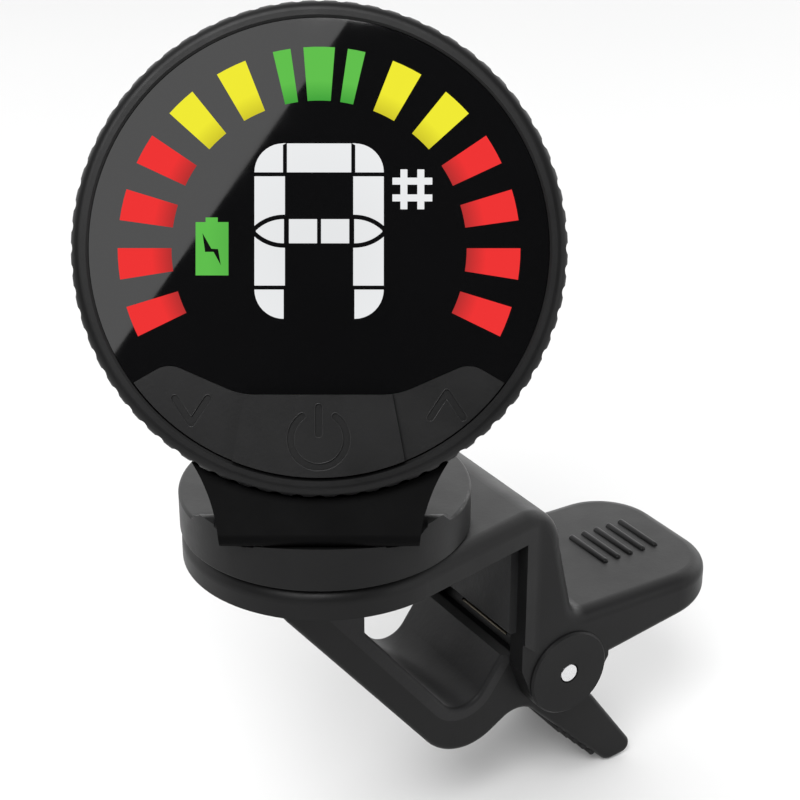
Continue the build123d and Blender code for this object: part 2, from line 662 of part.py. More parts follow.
# rear cover: a shallow dish with a spigot inside the ring
cover_front = -RING_DEPTH - 0.03
inner_back = COVER_BACK + COVER_WALL
neck_pad_half = 7.9
neck_pad_top = -11.5
with BuildPart() as rear_cover:
    with BuildSketch(head_side):
        with BuildLine():
            Polyline(
                (LEDGE_BOTTOM - 0.05, SPIGOT_R), (LEDGE_BOTTOM - 0.05, SPIGOT_R - 0.6),
                (inner_back + 1.0, SPIGOT_R - 0.6),
            )
            RadiusArc((inner_back + 1.0, SPIGOT_R - 0.6), (inner_back, SPIGOT_R - 1.6), -1.0)
            Polyline((inner_back, SPIGOT_R - 1.6), (inner_back, 0), (COVER_BACK, 0), (COVER_BACK, COVER_BACK_R))
            ThreePointArc(
                (COVER_BACK, COVER_BACK_R), (COVER_BACK + 0.95, COVER_RIM_R - 0.9), (cover_front, COVER_RIM_R),
            )
            Polyline(
                (cover_front, COVER_RIM_R), (cover_front, SPIGOT_R), (LEDGE_BOTTOM - 0.05, SPIGOT_R),
            )
        make_face()
    revolve(axis=head_axis)
    # screw posts
    with BuildSketch(face.offset(LEDGE_BOTTOM - 0.05)):
        with PolarLocations(SCREW_RING_R, 3, start_angle=90):
            Circle(POST_R)
    extrude(amount=inner_back - LEDGE_BOTTOM)
    with BuildSketch(face.offset(COVER_BACK - 1)):
        with PolarLocations(SCREW_RING_R, 3, start_angle=90):
            Circle(SCREW_R)
    extrude(amount=8, mode=Mode.SUBTRACT)
    with BuildSketch(face.offset(COVER_BACK - 1)):
        with PolarLocations(SCREW_RING_R, 3, start_angle=90):
            Circle(1.0)
    extrude(amount=2.0, mode=Mode.SUBTRACT)
    # pocket for the neck's fixing plate, with a floor inside it
    with BuildSketch(face.offset(inner_back + 1.2)):
        with Locations((0, (neck_pad_top - 17.2) / 2)):
            Rectangle(2 * neck_pad_half + 1.6, 17.2 + neck_pad_top)
    extrude(amount=-1.4)
    with BuildSketch(face.offset(NECK_PLATE_FACE)):
        with Locations((0, neck_pad_top - 10)):
            RectangleRounded(2 * neck_pad_half + 0.1, 20 + 0.1, 1.0)
    extrude(amount=-5, mode=Mode.SUBTRACT)
    with BuildSketch(face.offset(NECK_PLATE_FACE - 1)):
        with Locations((-NECK_SCREW_X, NECK_SCREW_Y), (NECK_SCREW_X, NECK_SCREW_Y)):
            Circle(0.5)
    extrude(amount=1.9, mode=Mode.SUBTRACT)
    # charging port opening
    with BuildSketch(port_side):
        with Locations((0, PORT_DEPTH)):
            RectangleRounded(PORT_W + 0.3, PORT_H + 0.3, 1.2)
    extrude(amount=8, mode=Mode.SUBTRACT)
finish(rear_cover, "rear_cover")

with BuildPart() as housing_screws:
    with BuildSketch(face.offset(COVER_BACK + 1.0)):
        with PolarLocations(SCREW_RING_R, 3, start_angle=90):
            Circle(0.98)
    extrude(amount=-0.45)
    with BuildSketch(face.offset(COVER_BACK + 1.0)):
        with PolarLocations(SCREW_RING_R, 3, start_angle=90):
            Circle(SCREW_R)
    extrude(amount=-COVER_BACK - 1.0 + LEDGE_BOTTOM + 1.3)
finish(housing_screws, "housing_screws")

with BuildPart() as usb_socket:
    with BuildSketch(port_side.offset(0.1)):
        with Locations((0, PORT_DEPTH)):
            RectangleRounded(PORT_W, PORT_H, 1.1)
            RectangleRounded(PORT_W - 0.6, PORT_H - 0.6, 0.8, mode=Mode.SUBTRACT)
    extrude(amount=4.2)
    with BuildSketch(port_side.offset(0.1)):
        with Locations((0, PORT_DEPTH)):
            RectangleRounded(PORT_W - 0.5, PORT_H - 0.5, 0.8)
    extrude(amount=0.4)
    with BuildSketch(port_side.offset(0.1)):
        with Locations((0, PORT_DEPTH)):
            Rectangle(PORT_W - 2.4, 0.5)
    extrude(amount=3.4)
finish(usb_socket, "usb_socket")

with BuildPart() as battery_cell:
    with BuildSketch(face.offset(BOARD_TOP - BOARD_T - 0.05)):
        with Locations((-3.0, 3.0)):
            RectangleRounded(18, 20, 1.2)
    extrude(amount=-2.3)
finish(battery_cell, "battery_cell")

with BuildPart() as piezo_sensor:
    with BuildSketch(face.offset(inner_back + 0.02)):
        with Locations((9.6, -3.2)):
            Circle(3.4)
    extrude(amount=0.4)
finish(piezo_sensor, "piezo_sensor")


# ================================================================ head: neck
with BuildPart() as neck_bracket:
    # seen from the side: the fixing plate, the body behind the ring, the front lip
    with BuildSketch(head_side):
        with BuildLine():
            FilletPolyline(
                (NECK_PLATE_FACE, neck_pad_top), (COVER_BACK + 0.05, neck_pad_top), (COVER_BACK + 0.05, -18.4),
                (NECK_REAR, -20.8), (NECK_REAR, NECK_BOTTOM_REAR), (NECK_FRONT, NECK_BOTTOM),
                (NECK_FRONT - 1.6, -16.5),
                radius=[0.3, 1.5, 1.5, 0.02, 0.8],
            )
            Polyline((NECK_FRONT - 1.6, -16.5), (NECK_PLATE_FACE, -16.5), (NECK_PLATE_FACE, neck_pad_top))
        make_face()
    extrude(amount=12, both=True)
    # seen from the front: sides that flare from the lip to the ring
    with BuildSketch(face.offset(-12)):
        with BuildLine():
            Line((-NECK_HALF, -26), (NECK_HALF, -26))
            Line((NECK_HALF, -26), (NECK_HALF, NECK_BOTTOM))
            ThreePointArc((NECK_HALF, NECK_BOTTOM), (8.75, -20.5), (10.5, -17.0))
            Polyline(
                (10.5, -17.0), (10.3, -16.7), (8.6, -17.5), (neck_pad_half, -17.8), (neck_pad_half, neck_pad_top - 1.2),
                (neck_pad_half - 1.2, neck_pad_top), (1.2 - neck_pad_half, neck_pad_top),
                (-neck_pad_half, neck_pad_top - 1.2), (-neck_pad_half, -17.8), (-8.6, -17.5), (-10.3, -16.7),
                (-10.5, -17.0),
            )
            ThreePointArc((-10.5, -17.0), (-8.75, -20.5), (-NECK_HALF, NECK_BOTTOM))
            Line((-NECK_HALF, NECK_BOTTOM), (-NECK_HALF, -26))
        make_face()
    extrude(amount=14, mode=Mode.INTERSECT)
    # clear of the ring and of the rear cover outside the plate's pocket
    with BuildSketch(head_side):
        with BuildLine():
            Polyline(
                (1, 0), (1, HEAD_R + 0.12), (cover_front - 0.05, HEAD_R + 0.12),
                (cover_front - 0.05, COVER_RIM_R + 0.08),
            )
            ThreePointArc(
                (cover_front - 0.05, COVER_RIM_R + 0.08), (COVER_BACK + 0.93, COVER_RIM_R - 0.82),
                (NECK_PLATE_FACE, 16.9),
            )
            Polyline((NECK_PLATE_FACE, 16.9), (NECK_PLATE_FACE, 0), (1, 0))
        make_face()
    revolve(axis=head_axis, mode=Mode.SUBTRACT)
    # lugs round the tilt pin
    with BuildSketch(head_side):
        with Locations(TILT_IN_HEAD):
            Circle(LUG_R)
    extrude(amount=LUG_OUT, both=True)
    # room for the washers and the turret's ears outside the lugs
    for end in (-1, 1):
        with BuildSketch(head_side.offset(end * LUG_OUT)):
            with Locations(TILT_IN_HEAD):
                Circle(EAR_KNUCKLE_R + 0.35)
            with Locations((-FACE_AHEAD - 3, BACK_TILT_RISE / 2 - 1.5 - FACE_RISE)):
                Rectangle(6, BACK_TILT_RISE + 3)
        extrude(amount=end * 4, mode=Mode.SUBTRACT)
    # slot that straddles the turret's centre knuckle
    with BuildSketch(head_side):
        with Locations(((NECK_FRONT - 1.3 - 9.5) / 2, -23.9)):
            Rectangle(9.5 + NECK_FRONT - 1.3, 5.2)
        with Locations((-FACE_AHEAD - 3, BACK_TILT_RISE / 2 - 1.5 - FACE_RISE)):
            Rectangle(6, BACK_TILT_RISE + 3)
    extrude(amount=LUG_IN, both=True, mode=Mode.SUBTRACT)
    # pin bore and screw holes
    with BuildSketch(head_side):
        with Locations(TILT_IN_HEAD):
            Circle(TILT_PIN_R + 0.04)
    extrude(amount=12, both=True, mode=Mode.SUBTRACT)
    with BuildSketch(face.offset(COVER_BACK - 1)):
        with Locations((-NECK_SCREW_X, NECK_SCREW_Y), (NECK_SCREW_X, NECK_SCREW_Y)):
            Circle(0.62)
    extrude(amount=4, mode=Mode.SUBTRACT)
    with BuildSketch(face.offset(COVER_BACK - 1)):
        with Locations((-NECK_SCREW_X, NECK_SCREW_Y), (NECK_SCREW_X, NECK_SCREW_Y)):
            Circle(1.15)
    extrude(amount=1.7, mode=Mode.SUBTRACT)
finish(neck_bracket, "neck_bracket")

with BuildPart() as neck_screws:
    with BuildSketch(face.offset(COVER_BACK + 0.7)):
        with Locations((-NECK_SCREW_X, NECK_SCREW_Y), (NECK_SCREW_X, NECK_SCREW_Y)):
            Circle(1.1)
    extrude(amount=-0.5)
    with BuildSketch(face.offset(COVER_BACK + 0.7)):
        with Locations((-NECK_SCREW_X, NECK_SCREW_Y), (NECK_SCREW_X, NECK_SCREW_Y)):
            Circle(0.5)
    extrude(amount=1.5)
finish(neck_screws, "neck_screws")
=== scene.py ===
import bmesh
import bpy
import json
from math import acos, atan2, ceil, cos, degrees, pi, radians, sin
from mathutils import Matrix, Vector


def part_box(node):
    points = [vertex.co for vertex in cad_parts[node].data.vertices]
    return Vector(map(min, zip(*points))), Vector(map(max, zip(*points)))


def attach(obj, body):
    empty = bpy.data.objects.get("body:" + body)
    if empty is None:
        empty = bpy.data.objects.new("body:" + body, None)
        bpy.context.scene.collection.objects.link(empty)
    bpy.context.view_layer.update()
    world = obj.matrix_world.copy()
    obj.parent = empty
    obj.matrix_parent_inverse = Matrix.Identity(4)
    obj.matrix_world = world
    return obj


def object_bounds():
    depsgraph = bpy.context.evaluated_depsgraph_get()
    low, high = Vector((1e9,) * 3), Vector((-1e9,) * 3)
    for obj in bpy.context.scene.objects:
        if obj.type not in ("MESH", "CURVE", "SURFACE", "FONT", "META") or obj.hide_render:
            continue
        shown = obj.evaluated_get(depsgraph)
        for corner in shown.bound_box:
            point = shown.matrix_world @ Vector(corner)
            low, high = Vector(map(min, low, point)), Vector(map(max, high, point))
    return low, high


# Clip-on instrument tuner. Sizes below are in millimetres on the face of the head unless a comment
# says otherwise, and the frame is in metres.
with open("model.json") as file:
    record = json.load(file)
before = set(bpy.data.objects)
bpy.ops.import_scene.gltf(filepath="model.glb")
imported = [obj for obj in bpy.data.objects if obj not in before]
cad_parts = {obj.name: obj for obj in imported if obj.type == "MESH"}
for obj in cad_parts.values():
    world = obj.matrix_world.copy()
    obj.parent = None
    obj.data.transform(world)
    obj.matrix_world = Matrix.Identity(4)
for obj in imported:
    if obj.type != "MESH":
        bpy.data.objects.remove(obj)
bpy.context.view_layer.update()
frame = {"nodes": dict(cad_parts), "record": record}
MM = 0.001
nodes = frame["nodes"]
joints = {joint["name"]: joint for joint in frame["record"]["behaviour"]["joints"]}


# ---------------------------------------------------------------- frame of the head
def span(name, direction):
    """Lowest and highest reach of a node along a direction, in metres."""
    reach = [vertex.co.dot(direction) for vertex in nodes[name].data.vertices]
    return min(reach), max(reach)


lateral = -Vector(joints["tilt"]["axis"]).normalized()
normal = -Vector(joints["press_power"]["axis"]).normalized()
upward = normal.cross(lateral)
ring_x = span("bezel_ring", lateral)
ring_y = span("bezel_ring", upward)
ring_lip = span("bezel_ring", normal)[1]
face_origin = lateral * sum(ring_x) / 2 + upward * sum(ring_y) / 2 + normal * ring_lip
LENS = (span("display_lens", normal)[1] - ring_lip) / MM


def on_face(x, y, depth):
    """A point of the head: right, up and out from the middle of the ring's lip."""
    return face_origin + (lateral * x + upward * y + normal * depth) * MM


# ---------------------------------------------------------------- materials
def new_material(name):
    """A material with its node tree and its shader."""
    material = bpy.data.materials.new(name)
    material.use_nodes = True
    tree = material.node_tree
    shader = tree.nodes["Principled BSDF"]
    return material, tree, shader


def noise(tree, scale, detail=2.0, rough=0.5):
    """Noise in object space. Scale is in cells per metre."""
    coords = tree.nodes.new("ShaderNodeTexCoord")
    texture = tree.nodes.new("ShaderNodeTexNoise")
    texture.inputs["Scale"].default_value = scale
    texture.inputs["Detail"].default_value = detail
    texture.inputs["Roughness"].default_value = rough
    tree.links.new(coords.outputs["Object"], texture.inputs["Vector"])
    return texture.outputs["Fac"]


def remap(tree, value, low, high):
    """Spread the middle of a noise's range from low to high."""
    node = tree.nodes.new("ShaderNodeMapRange")
    node.inputs["From Min"].default_value = 0.3
    node.inputs["From Max"].default_value = 0.7
    node.inputs["To Min"].default_value = low
    node.inputs["To Max"].default_value = high
    tree.links.new(value, node.inputs["Value"])
    return node.outputs["Result"]


def blend_colours(tree, value, dark, light):
    """Mix two colours, from dark at 0 to light at 1."""
    node = tree.nodes.new("ShaderNodeMix")
    node.data_type = "RGBA"
    node.inputs["A"].default_value = (*dark, 1)
    node.inputs["B"].default_value = (*light, 1)
    tree.links.new(value, node.inputs["Factor"])
    return node.outputs["Result"]


def grain(tree, shader, scale, depth, detail=3.0):
    """Fine surface relief; depth is in metres."""
    bump = tree.nodes.new("ShaderNodeBump")
    bump.inputs["Strength"].default_value = 1.0
    bump.inputs["Distance"].default_value = depth
    tree.links.new(noise(tree, scale, detail, 0.6), bump.inputs["Height"])
    tree.links.new(bump.outputs["Normal"], shader.inputs["Normal"])


def moulded(name, colour, rough, scale=2600, depth=0.000008, specular=0.15, sheen=0.0):
    """Moulded plastic or rubber with a fine spark-eroded grain, faint shade drift and handling marks."""
    material, tree, shader = new_material(name)
    drift = remap(tree, noise(tree, 90, 3), 0.0, 1.0)
    light = [c * 1.22 for c in colour]
    dark = [c * 0.86 for c in colour]
    tree.links.new(blend_colours(tree, drift, dark, light), shader.inputs["Base Color"])
    marks = remap(tree, noise(tree, 240, 5, 0.65), rough - 0.05, rough + 0.06)
    tree.links.new(marks, shader.inputs["Roughness"])
    shader.inputs["Specular IOR Level"].default_value = specular
    shader.inputs["Sheen Weight"].default_value = sheen
    grain(tree, shader, scale, depth)
    return material


def metal(name, colour, rough, scale=1500, depth=0.000004):
    """Bare metal with uneven polish. Depth is that of its grain, in metres."""
    material, tree, shader = new_material(name)
    shader.inputs["Metallic"].default_value = 1.0
    drift = remap(tree, noise(tree, 400, 3), 0.0, 1.0)
    tree.links.new(
        blend_colours(tree, drift, [c * 0.85 for c in colour], colour), shader.inputs["Base Color"],
    )
    tree.links.new(remap(tree, noise(tree, scale, 4), rough, rough + 0.12), shader.inputs["Roughness"])
    grain(tree, shader, scale, depth)
    return material


def lit(name, colour, dim, glow, fade):
    """A lit sign that outshines the window's gloss. It dims over a range of radii, given in metres."""
    material, tree, shader = new_material(name)
    coords = tree.nodes.new("ShaderNodeTexCoord")
    radius = tree.nodes.new("ShaderNodeVectorMath")
    radius.operation = "DISTANCE"
    radius.inputs[1].default_value = face_origin
    tree.links.new(coords.outputs["Object"], radius.inputs[0])
    reach = tree.nodes.new("ShaderNodeMapRange")
    reach.inputs["From Min"].default_value = fade[0]
    reach.inputs["From Max"].default_value = fade[1]
    tree.links.new(radius.outputs["Value"], reach.inputs["Value"])
    shade = blend_colours(tree, reach.outputs["Result"], dim, colour)
    shader.inputs["Base Color"].default_value = (0.004, 0.004, 0.004, 1)
    tree.links.new(shade, shader.inputs["Emission Color"])
    shader.inputs["Emission Strength"].default_value = glow
    shader.inputs["Specular IOR Level"].default_value = 0.0
    return material


def glossy(name, colour, rough):
    """Smooth glass or clear plastic, faintly uneven."""
    material, tree, shader = new_material(name)
    shade = remap(tree, noise(tree, 60, 2), 0.0, 1.0)
    tree.links.new(
        blend_colours(tree, shade, [c * 0.8 for c in colour], colour), shader.inputs["Base Color"],
    )
    tree.links.new(remap(tree, noise(tree, 300, 4), rough, rough + 0.02), shader.inputs["Roughness"])
    return material


def circuit(name):
    """Green solder mask with bare copper dots."""
    material, tree, shader = new_material(name)
    coords = tree.nodes.new("ShaderNodeTexCoord")
    cells = tree.nodes.new("ShaderNodeTexVoronoi")
    cells.inputs["Scale"].default_value = 900
    tree.links.new(coords.outputs["Object"], cells.inputs["Vector"])
    pads = tree.nodes.new("ShaderNodeMath")
    pads.operation = "LESS_THAN"
    pads.inputs[1].default_value = 0.22
    tree.links.new(cells.outputs["Distance"], pads.inputs[0])
    shade = blend_colours(tree, pads.outputs[0], (0.01, 0.09, 0.04), (0.6, 0.4, 0.12))
    tree.links.new(shade, shader.inputs["Base Color"])
    shader.inputs["Roughness"].default_value = 0.35
    grain(tree, shader, 1500, 0.00001)
    return material


PLASTIC = moulded("satin_black_plastic", (0.007, 0.007, 0.0072), 0.42)
HOUSING = moulded("housing_plastic", (0.007, 0.007, 0.0072), 0.38, specular=0.16)
# the neck is the same black plastic; this darker, duller copy is painted shade for the head's shadow over it
NECK_PAINTED_SHADE = moulded("neck_plastic_painted_shade", (0.003, 0.003, 0.0031), 0.50, specular=0.02)
KEYPAD = moulded("keypad_rubber", (0.008, 0.008, 0.0082), 0.38, scale=3200, specular=0.17)
# a lighter, glossier copy of the keypad rubber: painted highlight along the edges of the engraved key signs
KEY_EDGE_HIGHLIGHT = moulded("keypad_edge_painted_highlight", (0.014, 0.014, 0.0142), 0.30, scale=3200, specular=0.30)
RUBBER = moulded("pad_rubber", (0.010, 0.010, 0.0105), 0.50, scale=1800, depth=0.00002, sheen=0.08)
NYLON = moulded("washer_nylon", (0.05, 0.05, 0.05), 0.4)
WINDOW = glossy("window_black", (0.003, 0.003, 0.0033), 0.012)
PANEL = glossy("display_glass", (0.02, 0.02, 0.025), 0.08)
DIFFUSER = glossy("diffuser", (0.8, 0.8, 0.8), 0.3)
BOARD = circuit("circuit_board")
STEEL = metal("bright_steel", (0.78, 0.78, 0.79), 0.18)
DARK_STEEL = metal("blackened_steel", (0.10, 0.10, 0.10), 0.32)
SPRING = metal("spring_steel", (0.16, 0.14, 0.105), 0.35)
FOIL = metal("cell_foil", (0.75, 0.75, 0.77), 0.28, scale=700, depth=0.00004)
BRASS = metal("piezo_brass", (0.8, 0.6, 0.28), 0.25)
MARK_FADE = (0.0118, 0.0134)
WHITE_SIGN = lit("sign_white", (0.83, 0.84, 0.85), (0.78, 0.79, 0.80), 1.0, (0.002, 0.009))
GREEN_SIGN = lit("sign_green", (0.115, 0.52, 0.07), (0.05, 0.36, 0.04), 1.0, MARK_FADE)
BATTERY_SIGN = lit("sign_battery", (0.11, 0.51, 0.07), (0.09, 0.44, 0.06), 1.0, (0.007, 0.009))
YELLOW_SIGN = lit("sign_yellow", (0.87, 0.82, 0.03), (0.62, 0.56, 0.02), 1.0, MARK_FADE)
RED_SIGN = lit("sign_red", (0.86, 0.03, 0.03), (0.46, 0.025, 0.025), 1.0, MARK_FADE)
DARK_SIGN = lit("sign_dark", (0.004, 0.004, 0.004), (0.003, 0.003, 0.003), 0.2, MARK_FADE)

node_materials = {
    "upper_arm": PLASTIC, "lower_jaw": PLASTIC, "turret_cap": PLASTIC, "neck_bracket": NECK_PAINTED_SHADE,
    "bezel_ring": HOUSING, "rear_cover": HOUSING, "upper_pad": RUBBER, "lower_pad": RUBBER,
    "key_down": KEYPAD, "key_power": KEYPAD, "key_up": KEYPAD, "display_lens": WINDOW,
    "display_panel": PANEL, "light_guide": DIFFUSER, "main_board": BOARD, "dome_switches": STEEL,
    "battery_cell": FOIL, "piezo_sensor": BRASS, "usb_socket": STEEL, "housing_screws": DARK_STEEL,
    "neck_screws": DARK_STEEL, "jaw_pin": STEEL, "tilt_pin": STEEL, "tilt_washers": NYLON,
    "swivel_screw": DARK_STEEL, "swivel_washer": STEEL, "torsion_spring": SPRING,
}
for name, material in node_materials.items():
    nodes[name].data.materials.clear()
    nodes[name].data.materials.append(material)


# ---------------------------------------------------------------- pieces on the face
SIGN_LOW = LENS - 0.06     # the signs are let into the lens
SIGN_HIGH = LENS + 0.02    # and stand a hair above it


def arc(radius, start, end, centre=(0, 0), step=3.0):
    """Points along an arc, in degrees from the face's x axis."""
    count = max(2, ceil(abs(end - start) / step))
    angles = [radians(start + (end - start) * i / count) for i in range(count + 1)]
    return [(centre[0] + radius * cos(a), centre[1] + radius * sin(a)) for a in angles]


def add_piece(name, bm, material, body):
    """Turn a bmesh into a piece that moves with a body."""
    bmesh.ops.recalc_face_normals(bm, faces=bm.faces)
    mesh = bpy.data.meshes.new(name)
    bm.to_mesh(mesh)
    bm.free()
    mesh.materials.append(material)
    piece = bpy.data.objects.new(name, mesh)
    bpy.context.scene.collection.objects.link(piece)
    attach(piece, body)
    return piece


def sign(name, shape, material, low=SIGN_LOW, high=SIGN_HIGH, edge=0.015):
    """A flat inlay of the display between two depths. A shape is its points and its faces."""
    points, faces = shape
    bm = bmesh.new()
    base = [bm.verts.new(on_face(x, y, low)) for x, y in points]
    top = [bm.verts.new(on_face(x, y, high)) for x, y in points]
    sides = {(face[i - 1], face[i]) for face in faces for i in range(len(face))}
    for face in faces:
        bm.faces.new([top[i] for i in face])
        bm.faces.new([base[i] for i in reversed(face)])
    for start, end in sorted(sides):
        if (end, start) not in sides:
            bm.faces.new((base[start], base[end], top[end], top[start]))
    piece = add_piece(name, bm, material, "head")
    bevel = piece.modifiers.new("soft", "BEVEL")
    bevel.width = edge * MM
    bevel.segments = 2
    bevel.limit_method = "ANGLE"
    bevel.angle_limit = radians(40)


def outline(points):
    """A shape with one face."""
    return points, [tuple(range(len(points)))]


def band(left, right):
    """A strip of faces between two rails with as many points each."""
    count = len(left)
    return left + right, [(i, i + 1, count + i + 1, count + i) for i in range(count - 1)]


METER_IN = 11.8
METER_OUT = 16.1


def meter_mark(name, middle, width, material):
    """One mark of the meter, at an angle clockwise from the top."""
    start = 90 - middle - width / 2
    end = 90 - middle + width / 2
    sign(name, band(arc(METER_OUT, start, end), arc(METER_IN, start, end)), material)


MARK_WIDTH = 9.0           # degrees
NARROW_MARK = 5.1
NARROW_MARK_AT = 10.75
OUTER_MARKS = (
    (26.0, YELLOW_SIGN), (43.5, YELLOW_SIGN),
    (60.5, RED_SIGN), (77.5, RED_SIGN), (94.5, RED_SIGN), (111.5, RED_SIGN),
)
meter_mark("meter_centre", 0, MARK_WIDTH, GREEN_SIGN)
for hand, hand_name in ((-1, "low"), (1, "high")):
    meter_mark(f"meter_{hand_name}_1", hand * NARROW_MARK_AT, NARROW_MARK, GREEN_SIGN)
    for step, (middle, material) in enumerate(OUTER_MARKS, start=2):
        meter_mark(f"meter_{hand_name}_{step}", hand * middle, MARK_WIDTH, material)


# the note letter, in segments of a segment display: one half of it, mirrored
NOTE_HALF = 5.17
NOTE_INNER = 2.73
NOTE_TOP = 8.37
NOTE_BAR = 6.06
UPPER_BREAK = 5.9
LOWER_BREAK = -3.15
MIDDLE_TOP = 2.32
MIDDLE_FOOT = 0.39
CORNER = 2.3
GAP = 0.32
LEAF_X = 5.05
LEAF_INNER = 2.81
LEAF_R = 3.2
COLUMN_R = 3.56
FOOT_INSET = 0.1


def note_segments():
    """Name and outline of each segment of the right half."""
    half = GAP / 2
    corner_x = NOTE_HALF - CORNER
    yield "corner", (
        [(NOTE_INNER + half, UPPER_BREAK + half), (NOTE_HALF, UPPER_BREAK + half)]
        + arc(CORNER, 0, 90, (corner_x, NOTE_TOP - CORNER), 9) + [(NOTE_INNER + half, NOTE_TOP)]
    )
    # the leaf at the end of the middle bar, and the ends of the columns curved round it
    above = (LEAF_INNER, MIDDLE_TOP - LEAF_R)
    below = (LEAF_INNER, MIDDLE_FOOT + LEAF_R)
    leaf_end = degrees(acos((LEAF_X - LEAF_INNER) / LEAF_R))
    column_end = degrees(acos((NOTE_HALF - LEAF_INNER) / COLUMN_R))
    yield "leaf", arc(LEAF_R, leaf_end, 90, above, 5) + arc(LEAF_R, -90, -leaf_end, below, 5)
    yield "upper", (
        arc(COLUMN_R, 90, column_end, above, 5)
        + [(NOTE_HALF, UPPER_BREAK - half), (NOTE_INNER, UPPER_BREAK - half)]
        + [(NOTE_INNER, MIDDLE_TOP - LEAF_R + COLUMN_R)]
    )
    yield "lower", (
        [(NOTE_INNER, LOWER_BREAK + half), (NOTE_HALF, LOWER_BREAK + half)]
        + arc(COLUMN_R, -column_end, -90, below, 5) + [(NOTE_INNER, MIDDLE_FOOT + LEAF_R - COLUMN_R)]
    )
    foot_at = (NOTE_INNER + FOOT_INSET, LOWER_BREAK - half)
    yield "foot", [foot_at] + arc(NOTE_HALF - NOTE_INNER - FOOT_INSET, 0, -90, foot_at, 9)
    middle_end = NOTE_INNER - GAP
    yield "middle", [
        (half, MIDDLE_FOOT), (middle_end, MIDDLE_FOOT), (middle_end, MIDDLE_TOP), (half, MIDDLE_TOP),
    ]


def bar(x0, y0, x1, y1):
    """An upright rectangle between two corners."""
    return outline([(x0, y0), (x1, y0), (x1, y1), (x0, y1)])


bar_end = NOTE_INNER - GAP / 2
sign("note_bar", bar(-bar_end, NOTE_BAR, bar_end, NOTE_TOP), WHITE_SIGN)
for name, points in note_segments():
    for hand, tag in ((-1, "left"), (1, "right")):
        sign(f"note_{name}_{tag}", outline([(hand * x, y) for x, y in points]), WHITE_SIGN)


# the sharp sign: two uprights, and two crossbars a hair lower so that they don't share a face
SHARP_X = (5.86, 9.05)
SHARP_Y = (3.11, 6.30)
SHARP_BAR = 0.56
SHARP_UPRIGHTS = (6.50, 7.85)
SHARP_CROSSBARS = (3.74, 5.08)
CROSSBAR_TOP = SIGN_HIGH - 0.002
for tag, x in zip(("left", "right"), SHARP_UPRIGHTS):
    sign(f"sharp_upright_{tag}", bar(x, SHARP_Y[0], x + SHARP_BAR, SHARP_Y[1]), WHITE_SIGN)
for tag, y in zip(("low", "high"), SHARP_CROSSBARS):
    crossbar = bar(SHARP_X[0], y, SHARP_X[1], y + SHARP_BAR)
    sign(f"sharp_crossbar_{tag}", crossbar, WHITE_SIGN, high=CROSSBAR_TOP)

# the battery sign, and the bolt that lies on it
battery = [
    (-9.87, -2.18), (-7.24, -2.18), (-7.24, 2.08), (-8.10, 2.08), (-8.10, 2.45), (-9.07, 2.45),
    (-9.07, 2.08), (-9.87, 2.08),
]
bolt = [(-9.32, 1.20), (-9.11, -0.30), (-8.43, -0.30), (-7.85, -1.37), (-8.07, -0.08), (-8.61, -0.05)]
sign("battery_sign", outline(battery), BATTERY_SIGN)
sign("battery_bolt", outline(bolt), DARK_SIGN, low=SIGN_HIGH - 0.01, high=SIGN_HIGH + 0.01, edge=0.003)


# ---------------------------------------------------------------- pieces on the clip
RIDGES = 5
RIDGE_PITCH = 1.5 * MM
RIDGE_FIRST = 4.1 * MM     # from the paddle's end
RIDGE_HALF_LENGTH = 2.6 * MM
RIDGE_HALF_WIDTH = 0.36 * MM
RIDGE_RISE = 0.42 * MM
RIDGE_SINK = 0.1 * MM      # let into the paddle
RIDGE_CREST = 0.98         # how far the crown closes in
PADDLE_TOP = -8.55 * MM


def ridge(name, x):
    """A low crowned ridge with round ends, along Y on the thumb paddle."""
    bm = bmesh.new()
    rings = 7
    around = 24
    previous = None
    for level in range(rings):
        climb = level / (rings - 1) * pi / 2
        reach = RIDGE_HALF_WIDTH * (1 - (1 - cos(climb)) * RIDGE_CREST)
        height = PADDLE_TOP - RIDGE_SINK + RIDGE_RISE * sin(climb)
        loop = []
        for i in range(around):
            turn = 2 * pi * i / around
            end = RIDGE_HALF_LENGTH if sin(turn) >= 0 else -RIDGE_HALF_LENGTH
            loop.append(bm.verts.new((x + reach * cos(turn), end + reach * sin(turn), height)))
        if previous:
            for i in range(around):
                j = (i + 1) % around
                bm.faces.new((previous[i], previous[j], loop[j], loop[i]))
        else:
            bm.faces.new(loop[::-1])
        previous = loop
    bm.faces.new(previous)
    piece = add_piece(name, bm, PLASTIC, "upper_arm")
    for polygon in piece.data.polygons:
        polygon.use_smooth = True


paddle_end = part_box("upper_arm")[1][0]
for i in range(RIDGES):
    ridge(f"thumb_ridge_{i + 1}", paddle_end - RIDGE_FIRST - i * RIDGE_PITCH)


def wire(name, points, thickness, body, material=SPRING, closed=False):
    """A round wire or bead along points, in metres."""
    curve = bpy.data.curves.new(name, "CURVE")
    curve.dimensions = "3D"
    curve.bevel_depth = thickness / 2
    curve.bevel_resolution = 5
    curve.use_fill_caps = not closed
    run = curve.splines.new("POLY")
    run.use_cyclic_u = closed
    run.points.add(len(points) - 1)
    for point, place in zip(run.points, points):
        point.co = (*place, 1)
    curve.materials.append(material)
    piece = bpy.data.objects.new(name, curve)
    bpy.context.scene.collection.objects.link(piece)
    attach(piece, body)


